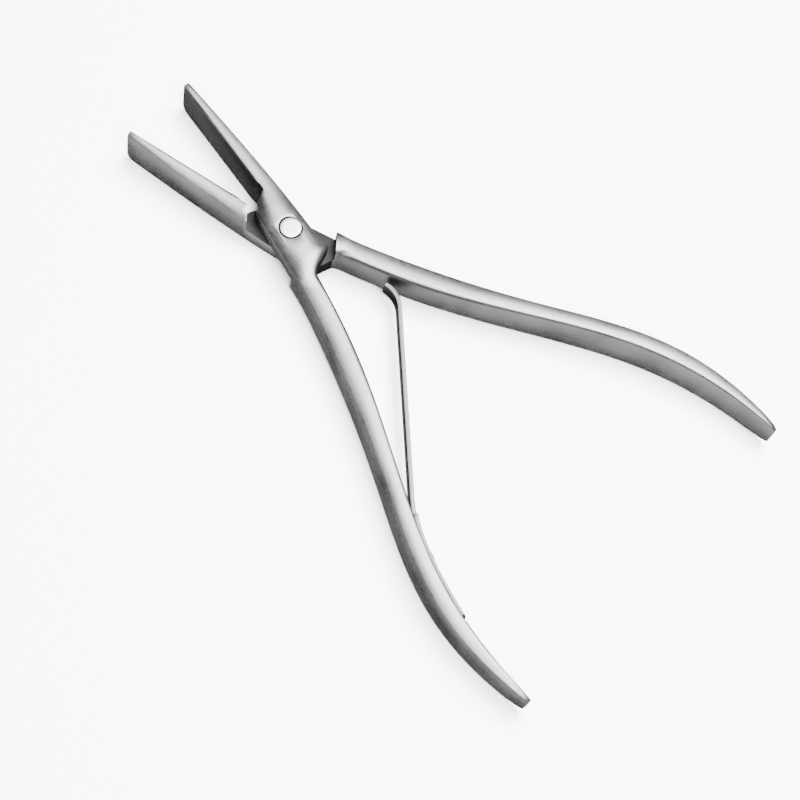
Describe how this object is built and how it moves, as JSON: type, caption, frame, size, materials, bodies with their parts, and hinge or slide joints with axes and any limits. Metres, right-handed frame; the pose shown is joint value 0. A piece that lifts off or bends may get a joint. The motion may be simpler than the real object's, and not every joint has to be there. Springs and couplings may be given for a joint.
{
  "type": "grozing pliers",
  "caption": "Slim two-lever steel pliers with long straight narrow jaws, crossed on a flush rivet and held open by a curved leaf spring between bowed handles.",
  "frame": {"origin": "centre of the rivet's flat back end, on the surface the pliers lie on", "axes": "+X along the centreline between the levers towards the jaw tips, +Y across the tool towards the handle that carries the spring, +Z along the rivet away from the surface"},
  "size_m": [0.1437, 0.0832, 0.0102],
  "materials": {
    "lever_steel": "satin, fine brushed",
    "rivet_steel": "polished flush",
    "spring_steel": "satin",
    "screw_steel": "satin"
  },
  "bodies": {
    "front": {"front_lever": "lever_steel", "pivot_rivet": "rivet_steel", "spring_foot": "spring_steel", "spring_screw": "screw_steel"},
    "back": {"back_lever": "lever_steel"},
    "leaf": {"spring_leaf": "spring_steel"}
  },
  "joints": [
    {"name": "pivot", "type": "hinge", "parent": "front", "child": "back", "pos_m": [0, 0, 0.00512], "axis": [0, 0, -1], "range_deg": [0, 22.9], "stiffness_Nm_per_rad": 0.7},
    {"name": "spring_flex", "type": "hinge", "parent": "front", "child": "leaf", "pos_m": [-0.04975, 0.01655, 0.00512], "axis": [0, 0, 1], "range_deg": [0, 20.5]}
  ],
  "couplings": [
    {"joint": "spring_flex", "follows": "pivot", "ratio": 0.88}
  ]
}
